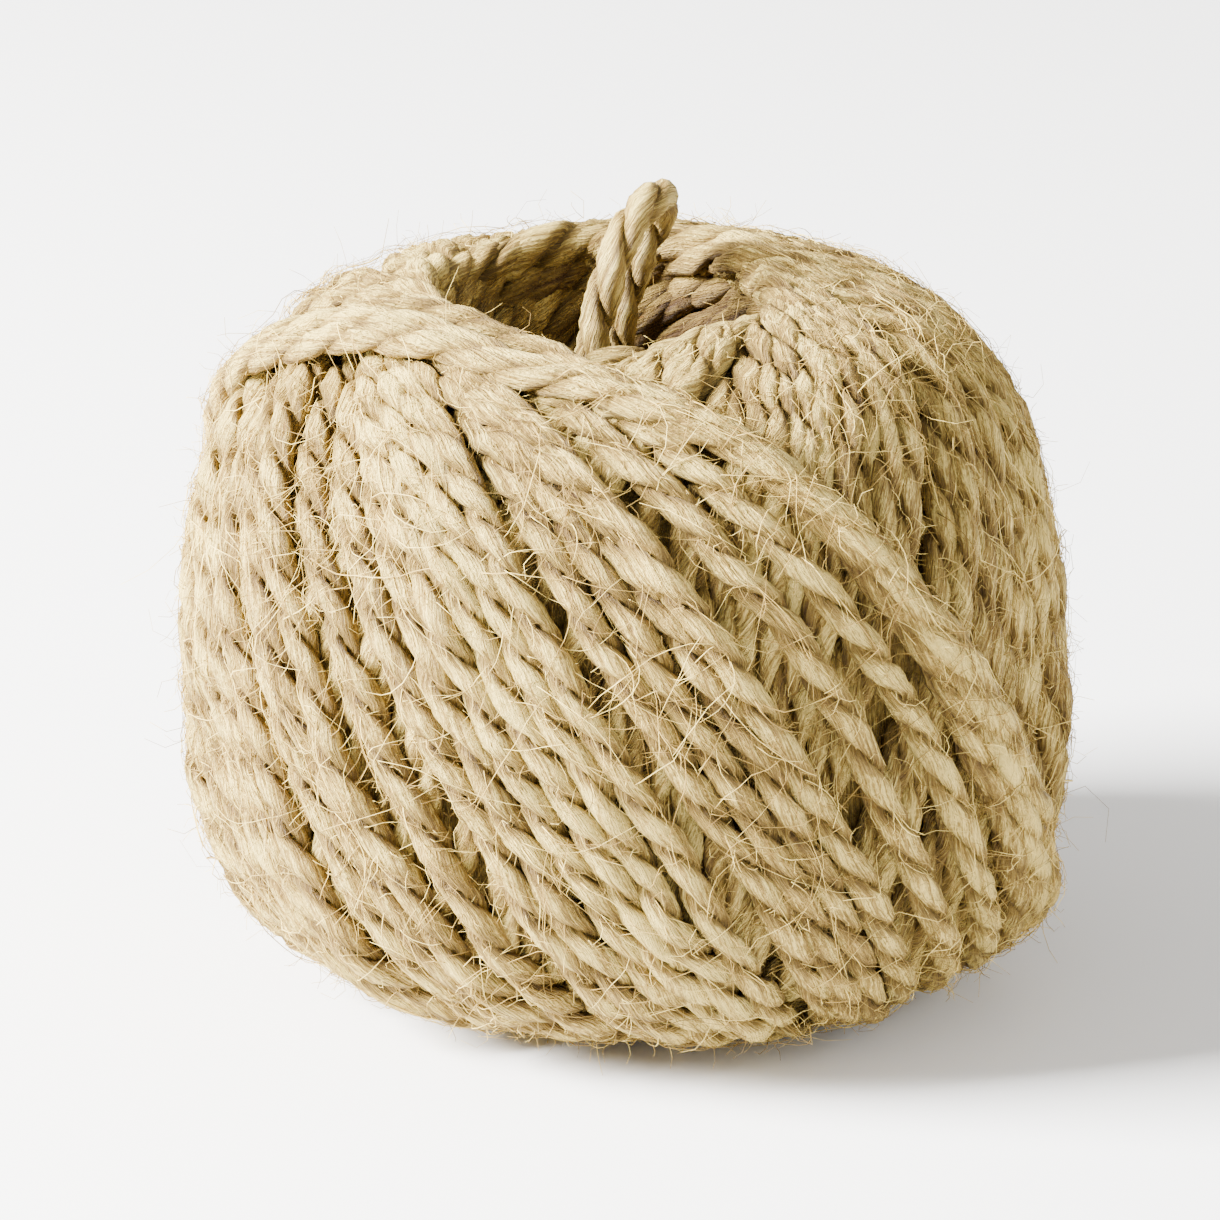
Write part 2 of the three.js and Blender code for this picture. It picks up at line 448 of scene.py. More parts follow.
def dipped(points, along, dip):
    """Turns sag over the rim into the crown's funnel where they pass it, and the part that comes
    up to the pass lies over the part of older turns that leaves it."""
    past = half_turns(along)
    near = bell(past, math.radians(DIP_SPAN))
    radius = np.hypot(points[:, 0], points[:, 1])
    over = -np.tanh(past / math.radians(OVERLAP_SPAN)) * near * OVERLAP
    inward = near * dip * DIP_IN + OVERLAP_IN * over
    lowered = points.copy()
    lowered[:, :2] *= (1 - inward / radius)[:, None]
    lowered[:, 2] += -near * dip * DIP_DOWN + OVERLAP_UP * over
    return lowered


def wound_turns(spec, outline, radius):
    """Lays two rounds of turns over the older winding and returns the last round."""
    rng = np.random.default_rng(11)
    step = spec.layer_step / MM
    ground = SurfaceMap(outline - OLDER_LAYERS * step + layer_heights(spec))
    schedule = turn_schedule(rng, 2, spec)
    laid = []
    for number, (azimuth, angle, waver, dip) in enumerate(schedule):
        line, side, along = turn_line(azimuth, angle, waver)
        age = spec.last_turn - azimuth
        level = outline_reach(np.arccos(line[:, 2])) + climb(along, spec)
        level = level - step * age / math.pi - radius
        place = np.degrees(half_turns(along))
        sink = SHOULDER_SINK * bell(age, SHOULDER_AGE)
        level = level - sink * bell(place - SHOULDER_PLACE, SHOULDER_SPAN)
        bunched = number >= len(schedule) - LAST_BUNCH
        if bunched:
            level = level + BUNCH_LIFT * bell(place - BUNCH_PLACE, BUNCH_SPAN)
        height = lay_turn(ground, line, side, along, level)
        laid.append({"line": line, "side": side, "along": along, "height": height, "dip": dip,
                     "bunched": bunched})
    return laid[-spec.turns_per_round:]


def level_change(outside, outline):
    """How far each row of the map has to rise to bring its turns to the outline."""
    grid = outside.reach.reshape(outside.ROWS, outside.COLUMNS)
    wound = grid > outline - WOUND
    mostly = wound.mean(1) > 0.5
    mean = (grid * wound).sum(1)[mostly] / wound.sum(1)[mostly]
    change = np.interp(outside.polar, outside.polar[mostly], outline[mostly, 0] - mean)
    padded = np.pad(change, LEVELLED // 2, mode="edge")
    return np.convolve(padded, np.ones(LEVELLED) / LEVELLED, mode="valid")


@functools.cache
def winding():
    """The last round of turns, each with its line, height, points and which of them show, and
    the map of their outside."""
    spec = settings().twine
    radius = spec.diameter / MM / 2
    outline = outline_reach(SurfaceMap.polar)[:, None]
    turns = wound_turns(spec, outline, radius)
    outside = SurfaceMap(outline - BARE)
    for turn in turns:
        stamp_turn(outside, turn["line"], turn["side"], turn["height"],
                   np.full(SAMPLES, radius), radius)
    change = level_change(outside, outline)
    outside.reach = outside.reach + np.repeat(change, outside.COLUMNS)
    for turn in turns:
        polar = np.arccos(turn["line"][:, 2])
        turn["height"] = turn["height"] + np.interp(polar, outside.polar, change)
        turn["points"] = dipped(turn["line"] * turn["height"][:, None], turn["along"], turn["dip"])
        showing = np.zeros(SAMPLES, bool)
        for track in TRACKS:
            place = unit(turn["line"] + track * radius / OUTLINE_ACROSS * turn["side"])
            own = turn["height"] + radius * math.sqrt(1 - track * track)
            showing |= outside.at(place) - own < HIDDEN
        turn["showing"] = smooth_round(showing.astype(float), SHOWN_SPREAD) > SHOWN_SHARE
    return {"turns": turns, "outside": outside}


# ---- twine meshes

# Section of a ply, as shares of the twine's radius: the plies are pressed flat on each other
PLY_OFFSET = 0.45
PLY_DEPTH = 0.58
PLY_WIDTH = 0.86
PLY_CORNERS = np.radians([0, 34, 68, 108, 180, 252, 292, 326])  # more of them on the outer side
TWIST_WOBBLE, WOBBLE_WAVES = 0.5, (1, 2, 3, 5, 8)  # radians that the twist runs ahead or behind
UNEVEN, UNEVEN_WAVES = 0.05, (3, 7, 13, 19, 29)  # unevenness of the twine's and a ply's thickness
FIBRE_REACH = 0.7  # distance of the fibres from their ply's middle, as a share of that radius
FIBRE_SLANT = -0.72  # radians for each millimetre that the fibres turn round their own ply
PATTERN_SPAN = np.array([80, 80, 4000])  # millimetres of pattern that the plies share out

# Tone is 0 for usual jute, more for paler and less for browner twine. Plies get a painted
# highlight on their own crests and on the outside of the ball, and painted shade between them and
# between turns.
CREST_PAINTED_LIGHT, CREST_START, CREST_LEAST = 1.9, 0.5, -0.8  # painted highlight on a ply's crest and painted shade at its groove, by the cosine of a corner's angle
OUTSIDE_PAINTED_LIGHT = 0.7  # painted light: how much paler the outside of a turn is than its middle, and browner its side towards the ball
STRAND_TONE, PLY_TONE = 0.6, 0.5  # how much turns and plies differ


def twine_rings(rng, points, side, closed, steps, spec, radius=None, groove=1.0):
    """Rings of both plies along a centre line, at steps along it that may vary.
    Returns points, fibre places and ring centres: (2, rings, corners, 3), and (rings, 3)."""
    radius = spec.diameter / MM / 2 if radius is None else radius
    if closed:
        around = np.vstack([points[-1:], points, points[:1]])
    else:
        around = np.vstack([2 * points[0] - points[1], points, 2 * points[-1] - points[-2]])
    ahead = unit(around[2:] - around[:-2])
    looped = np.vstack([points, points[:1]]) if closed else points
    gap = np.linalg.norm(np.diff(looped, axis=0), axis=1)
    distance = np.append(0, np.cumsum(gap))
    share = np.append(0, np.cumsum(gap / (steps if closed else steps[:-1])))
    rings = max(int(round(share[-1])), 8)
    wanted = np.linspace(0, share[-1], rings, endpoint=not closed)
    place = np.interp(wanted, share, np.arange(len(share)))
    index = np.arange(len(looped))

    def pick(values):
        values = np.vstack([values, values[:1]]) if closed else values
        return np.stack([np.interp(place, index, column) for column in values.T], axis=1)

    middle, ahead, side = pick(points), unit(pick(ahead)), pick(side)
    side = unit(side - ahead * (side * ahead).sum(1, keepdims=True))
    up = np.cross(ahead, side)
    run = np.interp(place, np.arange(len(distance)), distance)
    lay = spec.lay / MM
    twists = round(distance[-1] / lay) if closed else distance[-1] / lay
    wobble = round_noise(rng, len(run), WOBBLE_WAVES, TWIST_WOBBLE) if closed else 0.0
    phase = -FULL * twists * run / distance[-1] + wobble + rng.uniform(0, FULL)
    thick = 1 + (UNEVEN * round_noise(rng, len(run), UNEVEN_WAVES, 1.0) if closed else 0.0)
    made, fibre = [], []
    for ply in (0, 1):
        turn = (phase + ply * math.pi)[:, None]
        size = (radius * thick * (1 + UNEVEN * rng.standard_normal(len(run))))[:, None]
        outward = (radius * PLY_OFFSET * groove
                   + size * (PLY_DEPTH + PLY_OFFSET * (1 - groove)) * np.cos(PLY_CORNERS))
        sideways = size * PLY_WIDTH * np.sin(PLY_CORNERS)
        across = outward * np.cos(turn) - sideways * np.sin(turn)
        upward = outward * np.sin(turn) + sideways * np.cos(turn)
        made.append(middle[:, None] + across[..., None] * side[:, None]
                    + upward[..., None] * up[:, None])
        roll, reach = PLY_CORNERS + FIBRE_SLANT * run[:, None], FIBRE_REACH * radius
        fibre.append(np.stack([reach * np.cos(roll), reach * np.sin(roll),
                               np.broadcast_to(run[:, None], roll.shape)], axis=-1))
    return np.array(made), np.array(fibre), middle


def tube_faces(rings, corners, closed):
    """Quads round a tube, facing out."""
    ring = np.arange(rings if closed else rings - 1)
    here = ring[:, None] * corners + np.arange(corners)
    nexts = ((ring + 1) % rings)[:, None] * corners + np.arange(corners)
    quads = np.stack([here, np.roll(here, -1, 1), np.roll(nexts, -1, 1), nexts], axis=-1)
    return quads.reshape(-1, 4)


def end_caps(rings, corners):
    """Triangle fans that close both ends of an open tube."""
    fan = np.array([[0, k + 1, k] for k in range(1, corners - 1)])
    return np.vstack([fan, (rings - 1) * corners + fan[:, ::-1]])


class Gather:
    """Collects tubes into one mesh."""

    def __init__(self):
        self.points, self.fibre, self.tone = [], [], []
        self.quads, self.triangles = [], [NO_TRIANGLES]
        self.count = 0

    def add(self, points, fibre, tone, closed):
        """points and fibre are (rings, corners, 3)."""
        rings, corners = points.shape[:2]
        self.quads.append(tube_faces(rings, corners, closed) + self.count)
        if not closed:
            self.triangles.append(end_caps(rings, corners) + self.count)
        self.points.append(points.reshape(-1, 3))
        self.fibre.append(fibre.reshape(-1, 3))
        self.tone.append(np.broadcast_to(tone, points.shape[:2]).ravel())
        self.count += rings * corners

    def piece(self, name, placed=True):
        points = np.vstack(self.points)
        points = into_frame(points) if placed else points * MM
        return mesh_piece(name, points, np.vstack(self.quads), np.vstack(self.triangles),
                          np.vstack(self.fibre), np.concatenate(self.tone))


def add_twine(gather, rng, points, side, closed, steps, spec, tone=0.0, **more):
    """Adds both plies of a length of twine and returns the middle of its rings."""
    rings, fibre, middle = twine_rings(rng, points, side, closed, steps, spec, **more)
    strand_tone = tone + rng.normal(0, STRAND_TONE)
    outward = unit(middle)[:, None]
    # painted highlight on ply crests and on the turn's outside, painted shade in the grooves
    # between plies and between turns
    crest = CREST_PAINTED_LIGHT * np.maximum(np.cos(PLY_CORNERS) - CREST_START, CREST_LEAST)
    for ply in (0, 1):
        outer = ((rings[ply] - middle[:, None]) * outward).sum(2) / (spec.diameter / MM / 2)
        painted_light = crest + OUTSIDE_PAINTED_LIGHT * np.clip(outer, -1, 1)
        shift = rng.random(3) * PATTERN_SPAN
        ply_tone = strand_tone + rng.normal(0, PLY_TONE) + painted_light
        gather.add(rings[ply], fibre[ply] + shift, ply_tone, closed)
    return middle


# ---- materials


def node(tree, kind, inputs=(), **properties):
    """Adds a node, sets its properties, and links or sets its inputs."""
    made = tree.nodes.new(kind)
    for key, value in properties.items():
        setattr(made, key, value)
    for socket, source in dict(inputs).items():
        if isinstance(source, bpy.types.NodeSocket):
            tree.links.new(source, made.inputs[socket])
        else:
            made.inputs[socket].default_value = source
    return made


# Patterns that are drawn out along the fibres: width and length of a streak in millimetres
STREAK_COLUMNS = ("label", "width", "length", "detail")
STREAKS = (
    ("fibres 0.15 mm wide", 0.15, 3.6, 3.0),
    ("bundles of fibre", 0.45, 9.0, 2.0),
    ("retting patches", 2.4, 22.0, 2.0),
    ("bark and rust flecks", 0.35, 3.2, 1.0),
)
BUNDLE_SHARE, TONE_SHARE = 0.8, 0.09  # weight of the bundles and of the tone beside the fibres
DARK_AT, PALE_AT = 0.42, 1.12  # what these add up to where the twine is darkest and palest
BROWN_AT, STRAW_AT = 0.5, 0.76  # shares of the way from dark to pale
PATCHES = {"From Min": 0.35, "From Max": 0.7, "To Min": 1.05, "To Max": 0.78}  # their brightness
FLECKS = {"From Min": 0.73, "From Max": 0.80, "To Max": 0.7}  # how much rust colour they take
FIBRE_RELIEF, RELIEF = 1.3, 0.0012  # weight of the fibres beside the bundles, and metres


def jute_material():
    """Natural jute, retted and spun in two plies. The bast fibres are 0.05 to 0.1 mm thick and
    metres of them lie nearly along each ply, so the eye sees fine silky streaks from straw to
    pale, dull brown bark specks and a dry, slightly shining surface. Streaks are drawn 0.15 mm
    wide, coarser than the fibre, so that they show."""
    found = bpy.data.materials.get(JUTE)
    if found:
        return found
    colours = settings().colours
    material = bpy.data.materials.new(JUTE)
    material.use_nodes = True
    tree = material.node_tree
    tree.nodes.clear()
    fibre = node(tree, "ShaderNodeAttribute", attribute_name="fibre")
    tone = node(tree, "ShaderNodeAttribute", attribute_name="tone")

    patterns = []
    for row in STREAKS:
        streak = dict(zip(STREAK_COLUMNS, row))
        across = 1 / streak["width"]
        place = node(tree, "ShaderNodeMapping", {
            "Vector": fibre.outputs["Vector"], "Scale": (across, across, 1 / streak["length"])})
        noise = node(tree, "ShaderNodeTexNoise", {
            "Vector": place.outputs[0], "Scale": 1.0, "Detail": streak["detail"],
            "Roughness": 0.6}, label=streak["label"])
        patterns.append(noise.outputs["Fac"])
    fine, bundles, patch, fleck = patterns
    mixed = node(tree, "ShaderNodeMath", {0: bundles, 1: BUNDLE_SHARE, 2: fine},
                 operation="MULTIPLY_ADD")
    toned = node(tree, "ShaderNodeMath", {
        0: tone.outputs["Fac"], 1: TONE_SHARE, 2: mixed.outputs[0]}, operation="MULTIPLY_ADD")
    spread = node(tree, "ShaderNodeMapRange", {
        "Value": toned.outputs[0], "From Min": DARK_AT, "From Max": PALE_AT})
    base = node(tree, "ShaderNodeValToRGB", {"Fac": spread.outputs[0]})
    stops = base.color_ramp.elements
    stops[0].color, stops[1].color = (*colours.painted_shade_brown, 1), (*colours.pale, 1)
    for place, colour in ((BROWN_AT, colours.brown), (STRAW_AT, colours.straw)):
        stops.new(place).color = (*colour, 1)
    patched = node(tree, "ShaderNodeMapRange", {"Value": patch, **PATCHES})
    darker = node(tree, "ShaderNodeVectorMath", {
        0: base.outputs["Color"], "Scale": patched.outputs[0]}, operation="SCALE")
    speck = node(tree, "ShaderNodeMapRange", {"Value": fleck, **FLECKS})
    # sockets 6 and 7 are the two colours of the mix
    flecked = node(tree, "ShaderNodeMix", {
        0: speck.outputs[0], 6: darker.outputs[0], 7: (*colours.rust, 1)}, data_type="RGBA")
    relief = node(tree, "ShaderNodeMath", {0: fine, 1: FIBRE_RELIEF, 2: bundles},
                  operation="MULTIPLY_ADD")
    bump = node(tree, "ShaderNodeBump", {
        "Height": relief.outputs[0], "Strength": 1.0, "Distance": RELIEF})
    surface = node(tree, "ShaderNodeBsdfPrincipled", {
        "Base Color": flecked.outputs[2], "Normal": bump.outputs[0], "Roughness": 0.6, "IOR": 1.5,
        "Specular IOR Level": 0.2, "Sheen Weight": 0.1, "Sheen Roughness": 0.5,
        "Sheen Tint": (*colours.pale, 1)})
    node(tree, "ShaderNodeOutputMaterial", {"Surface": surface.outputs[0]})
    return material


# ---- pieces


LENS, SENSOR = 206.6, 36.0  # millimetres
AIM_RIGHT, AIM_UP = -0.00167, 0.00738  # metres from the ball's middle to where the camera aims
NEAREST, FARTHEST = 0.01, 20  # metres that the camera sees between
FLOOR_REACH = 3.0  # metres
PAPER_ROUGHNESS = 0.9
WORLD_STRENGTH = 0.86
LIGHTS = (  # name, place and size in metres
    ("key", (-0.87, -0.15, 0.53), 0.45),
    ("fill", (0.90, -0.10, 0.32), 0.7),
)


class TWINE_OT_stage(Operator):
    """Makes the camera, the pale floor and the soft studio lights"""
    bl_idname = "twine.stage"
    bl_label = "Stage and camera"

    def execute(self, context):
        spec = settings().stage
        middle = Vector(CENTRE) * MM
        elevation = spec.camera_elevation
        towards = Vector((0, -math.cos(elevation), math.sin(elevation)))
        camera = bpy.data.objects.new("camera", bpy.data.cameras.new("camera"))
        context.scene.collection.objects.link(camera)
        camera.data.sensor_width, camera.data.lens = SENSOR, LENS
        camera.location = middle + towards * spec.camera_distance
        right = Vector((1, 0, 0))
        up = Vector((0, math.sin(elevation), math.cos(elevation)))
        target = middle + up * AIM_UP + right * AIM_RIGHT
        camera.rotation_euler = (target - camera.location).to_track_quat("-Z", "Y").to_euler()
        camera.data.clip_start, camera.data.clip_end = NEAREST, FARTHEST
        context.scene.camera = camera

        floor_mesh = bpy.data.meshes.new("floor")
        corners = [(x * FLOOR_REACH, y * FLOOR_REACH, 0)
                   for x, y in ((-1, -1), (1, -1), (1, 1), (-1, 1))]
        floor_mesh.from_pydata(corners, [], [(0, 1, 2, 3)])
        floor = bpy.data.objects.new("floor", floor_mesh)
        context.scene.collection.objects.link(floor)
        # uncoated background paper: an even, warm white without a shine
        paper = bpy.data.materials.new("matt studio paper")
        paper.use_nodes = True
        shader = paper.node_tree.nodes["Principled BSDF"]
        shader.inputs["Base Color"].default_value = (*spec.floor, 1)
        shader.inputs["Roughness"].default_value = PAPER_ROUGHNESS
        floor_mesh.materials.append(paper)

        world = bpy.data.worlds.new("studio")
        world.use_nodes = True
        background = world.node_tree.nodes["Background"]
        background.inputs["Color"].default_value = (1, 1, 1, 1)
        background.inputs["Strength"].default_value = WORLD_STRENGTH
        context.scene.world = world
        for (name, place, size), power in zip(LIGHTS, (spec.key_power, spec.fill_power)):
            light = bpy.data.lights.new(name, "AREA")
            light.size, light.energy = size, power
            lamp = bpy.data.objects.new(name, light)
            lamp.location = place
            lamp.rotation_euler = (middle - Vector(place)).to_track_quat("-Z", "Y").to_euler()
            context.scene.collection.objects.link(lamp)
        return {"FINISHED"}


CURVE_STEPS = 24  # from one given point to the next, before it is spaced evenly


def smooth_route(points, spacing):
    """Points at even spacing on a smooth curve through the given ones."""
    points = np.array(points, float)
    padded = np.vstack([2 * points[0] - points[1], points, 2 * points[-1] - points[-2]])
    share = np.linspace(0, 1, CURVE_STEPS, endpoint=False)[:, None]
    parts = []
    for a, b, c, d in zip(padded, padded[1:], padded[2:], padded[3:]):
        parts.append(0.5 * (2 * b + (c - a) * share + (2 * a - 5 * b + 4 * c - d) * share ** 2
                            + (3 * b - a - 3 * c + d) * share ** 3))
    dense = np.vstack([*parts, points[-1:]])
    run = np.append(0, np.cumsum(np.linalg.norm(np.diff(dense, axis=0), axis=1)))
    wanted = np.linspace(0, run[-1], int(round(run[-1] / spacing)) + 1)
    return np.stack([np.interp(wanted, run, dense[:, k]) for k in range(3)], axis=1), run[-1]


LOOP_SPACING, LOOP_RINGS = 0.35, 0.6  # from point to point of its route, and from ring to ring
LOOP_FULLNESS = 1.08  # it was never pulled tight over other turns, so it is thicker and paler
LOOP_TONE, LOOP_GROOVE = 2.0, 0.8  # and its plies part less deeply


class TWINE_OT_pull_loop(Operator):
    """Makes the doubled inner end that stands out of the well"""
    bl_idname = "twine.pull_loop"
    bl_label = "Pull loop"

    def execute(self, context):
        spec = settings().twine
        rng = np.random.default_rng(5)
        route, length = smooth_route(LOOP_ROUTE, LOOP_SPACING)
        side = np.zeros_like(route)
        side[0] = (1, 0, 0)
        ahead = unit(np.gradient(route, axis=0))
        for k in range(len(route)):
            last = side[max(k - 1, 0)]
            side[k] = unit(last - ahead[k] * (last @ ahead[k]))
        gather = Gather()
        steps = np.full(len(route), LOOP_RINGS)
        middle = add_twine(gather, rng, route, side, False, steps, spec, tone=LOOP_TONE,
                           radius=LOOP_FULLNESS * spec.diameter / MM / 2, groove=LOOP_GROOVE)
        loop = gather.piece("pull_loop_twine", placed=False)
        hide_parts("pull_loop")
        return {"FINISHED"}


TURN_BANDS = 4
SHOWN_RINGS, FOOT_RINGS, HIDDEN_RINGS = 1.4, 2.0, 3.6  # ring to ring, closest where a turn shows
FOOT_BELOW = -0.8  # height of a turn's unit points below which it lies at the foot
BUNCH_GROOVE, BUNCH_TONE = 0.65, 0.3  # the last bunch is pulled tight, smoother and paler


class TWINE_OT_outer_turns(Operator):
    """Winds the last round of turns, in four bands"""
    bl_idname = "twine.outer_turns"
    bl_label = "Outer turns"

    def execute(self, context):
        spec = settings().twine
        rng = np.random.default_rng(21)
        turns = winding()["turns"]
        edges = np.arange(TURN_BANDS + 1) * len(turns) // TURN_BANDS
        for band in range(TURN_BANDS):
            gather = Gather()
            for turn in turns[edges[band]:edges[band + 1]]:
                shown = np.where(turn["line"][:, 2] < FOOT_BELOW, FOOT_RINGS, SHOWN_RINGS)
                steps = np.where(turn["showing"], shown, HIDDEN_RINGS)
                # each closed turn starts and ends at its lowest point, out of sight
                points, side, steps = (np.roll(values, SAMPLES // 2, axis=0)
                                       for values in (turn["points"], turn["side"], steps))
                look = {"groove": BUNCH_GROOVE, "tone": BUNCH_TONE} if turn["bunched"] else {}
                add_twine(gather, rng, points, side, True, steps, spec, **look)
            gather.piece(f"outer_turns_{band + 1}")
        return {"FINISHED"}


FUNNEL_POINTS = 60  # points along one funnel turn
UNEVEN_PASS, UNEVEN_GAP = 0.3, 0.35  # of their closest pass, and of the gaps between them
FUNNEL_PAST = 6.0  # how far past its pass each one runs, there under the next ones
UNDER_SPAN, UNDER_OUT, UNDER_DOWN = 2.5, 1.3, 0.7  # over what length, and how far out and down
BURIED, BURIED_SPAN = 4.8, 3.0  # how deep the cut end at the rim lies, and over what length
FUNNEL_RINGS, FUNNEL_GROOVE = 1.5, 0.6
FUNNEL_ENDS, FIRST_END, END_ROOT = 10, 4, 0.8  # fibre ends on each, from which ring, how deep
WELL_TOP, WELL_FOOT, WELL_WALL = 27.0, -24, 12.6  # heights and radius of the well's turns
# the well's turns get a browner tone as painted shade down inside the ball
WELL_POINTS, WELL_RINGS, WELL_PAINTED_SHADE = 160, 2.0, -2.5
WELL_TILTS, WELL_TILT_REACH = np.radians([4, 10]), 12.5
WELL_PITCH = (2.5, 3.0)


def funnel_turn(rng, layer, azimuth, age, layer_step):
    """Points of one turn in the funnel, its age in half rounds behind the last turn. In plan it is
    a straight chord: it comes over the rim, slopes down as it passes the axis and goes in under
    the next turns."""
    nearest = layer["nearest"] + rng.normal(0, UNEVEN_PASS)
    run = np.linspace(-math.sqrt(FUNNEL_RIM ** 2 - nearest ** 2), FUNNEL_PAST, FUNNEL_POINTS)
    share = np.linspace(0, 1, FUNNEL_POINTS)
    fall = share ** 2 * (3 - 2 * share)
    under = 1 + np.tanh(run / UNDER_SPAN)
    radius = np.hypot(nearest, run) + UNDER_OUT * under
    height = layer["rim"] + (layer["pass"] - layer["rim"]) * fall - UNDER_DOWN * under
    height = height - BURIED * bell(run - run[0], BURIED_SPAN) + layer_step * (1 - age)
    around = azimuth + np.arctan2(run, nearest)
    return np.stack([radius * np.cos(around), radius * np.sin(around), height], axis=1)


def well_turn(height, tilt, way):
    """Points of one closed turn of the well's wall, highest towards one way."""
    around = np.linspace(0, FULL, WELL_POINTS, endpoint=False)
    rise = math.tan(tilt) * WELL_TILT_REACH * np.cos(around - way)
    return np.stack([WELL_WALL * np.cos(around), WELL_WALL * np.sin(around), height + rise],
                    axis=1)


class TWINE_OT_funnel_turns(Operator):
    """Lines the crown's funnel and the well with the turns laid before"""
    bl_idname = "twine.funnel_turns"
    bl_label = "Funnel and well turns"

    def execute(self, context):
        spec = settings().twine
        rng = np.random.default_rng(8)
        gather = Gather()
        steps = np.full(FUNNEL_POINTS, FUNNEL_RINGS)
        for row in FUNNEL_LAYERS:
            layer = dict(zip(FUNNEL_COLUMNS, row))
            start = rng.uniform(0, FULL)
            for number in range(layer["turns"]):
                place = number + rng.uniform(-UNEVEN_GAP, UNEVEN_GAP)
                azimuth = start + place * FULL / layer["turns"]
                age = (spec.last_turn - azimuth) % FULL / math.pi
                points = funnel_turn(rng, layer, azimuth, age, spec.layer_step / MM)
                outward = np.array([math.cos(azimuth), math.sin(azimuth), 0.0])
                side = np.broadcast_to(outward, points.shape)
                # the tone darkens with the layer's depth and the turn's age: painted shade inside
                # the funnel
                middle = add_twine(gather, rng, points, side, False, steps, spec,
                                   groove=FUNNEL_GROOVE, tone=layer["tone"] * age ** 2)
                # fibre ends stand out all round it, clear of its cut end
                ring = rng.integers(FIRST_END, len(middle), FUNNEL_ENDS)
                out = unit(rng.normal(size=(FUNNEL_ENDS, 3)))
                starts = middle[ring] + END_ROOT * out * spec.diameter / MM / 2
                add_fibre_ends(gather, rng, starts, unit(middle[ring] - middle[ring - 1]), out)
        gather.piece("funnel_turns")
        wall = Gather()
        height = WELL_TOP
        while height > WELL_FOOT:
            points = well_turn(height, rng.uniform(*WELL_TILTS), rng.uniform(0, FULL))
            side = np.broadcast_to(np.array([0.0, 0, 1]), points.shape)
            add_twine(wall, rng, points, side, True, np.full(WELL_POINTS, WELL_RINGS), spec,
                      tone=WELL_PAINTED_SHADE)
            height -= rng.uniform(*WELL_PITCH)
        wall.piece("well_turns")
        return {"FINISHED"}


CORE_DEPTH = 3.3  # how far below the outside of the turns the older winding lies
CORE_EDGE_DEPTH, CORE_EDGE = 3.0, 8  # how much deeper it lies near the mouths, and degrees
CORE_LEVELS, CORE_COLUMNS = np.radians(np.linspace(30, 150, 34)), 120
CORE_WELL = np.array([  # radius and height of its inside, from the foot up to the crown
    (13.6, -23.0), (13.2, -12.0), (13.2, 0.0), (13.2, 12.0), (13.3, 24.0), (14.4, 28.0),
    (16.0, 31.0), (18.0, 33.0)])
CORE_RIBS, RIB_HEIGHT = 26, 0.5  # slanting ribs that stand for its turns
RIB_SLANT = 9 / 40  # radians of a rib's wave for each millimetre of height
# the older winding gets a browner tone as painted shade deep under the turns
CORE_PAINTED_SHADE = -1.0


class TWINE_OT_core(Operator):
    """Makes the older winding that fills the ball under the turns that show"""
    bl_idname = "twine.core"
    bl_label = "Inner winding"

    def execute(self, context):
        polar = CORE_LEVELS
        around = np.linspace(0, FULL, CORE_COLUMNS, endpoint=False)[:, None]
        edge = np.minimum(polar - polar[0], polar[-1] - polar)
        depth = CORE_DEPTH + CORE_EDGE_DEPTH * bell(edge, math.radians(CORE_EDGE))
        reach = winding()["outside"].mean_near(around, polar[None, :]) - depth
        outside = np.stack([reach * np.sin(polar), reach * np.cos(polar)], axis=-1)
        inside = np.broadcast_to(CORE_WELL, (CORE_COLUMNS, *CORE_WELL.shape))
        radius, height = np.moveaxis(np.concatenate([outside, inside], axis=1), -1, 0)
        radius = radius + RIB_HEIGHT * np.cos(CORE_RIBS * around + RIB_SLANT * height)
        points = np.stack([radius * np.cos(around), radius * np.sin(around), height], axis=-1)
        quads = tube_faces(CORE_COLUMNS, points.shape[1], True)[:, ::-1]
        points = points.reshape(-1, 3)
        core = mesh_piece("inner_winding", into_frame(points), quads, NO_TRIANGLES, points,
                          np.full(len(points), CORE_PAINTED_SHADE))
        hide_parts("twine_ball")
        return {"FINISHED"}


# ---- loose fibres


TUBE_SIDES = 3
TIP = 0.55  # thickness of a fibre's tip as a share of its root's
FIBRE_TONE, TONE_SPREAD = 0.6, 1.3
STREAK_RUN, STREAK_SHIFT = 5, 900  # pattern along a fibre, and pattern that the fibres share out

END_RINGS = 4
END_SHAPE, END_SPREAD, SHORTEST_END = 2.6, 0.85, 0.7  # of the spread of lengths, and the least
END_THICKNESS = (0.7, 1.15)
END_RISE, END_TURN = (0.0, 0.6), 0.6  # up and aside as an end leaves, against 1 along the ply
END_BEND, BACK_IN = (0.6, 3.2), 0.25  # radians that it curls by, and how much of that is inward
ROOT_OUT, ROOT_ASIDE, ROOT_EDGE = 0.86, 0.9, 0.95  # where on the twine's section it starts

LYING_RINGS, STRAY_RINGS = 8, 14
SWAY_KEPT, SWAY_NEW = 0.75, 0.6  # share of its bend that a lying fibre keeps, and takes up new
WALK_TOP, WALK_FOOT = 0.85, -0.88  # it stays between these heights, clear of the mouths
BEDDED, HUMPS = 0.15, (0.8, 1.6)  # how deep its ends bed in, and its smaller humps
SMOOTH_CROWN, CROWN_SHARE = 0.78, 0.4  # the crown's twine is pulled smooth and keeps fewer fibres


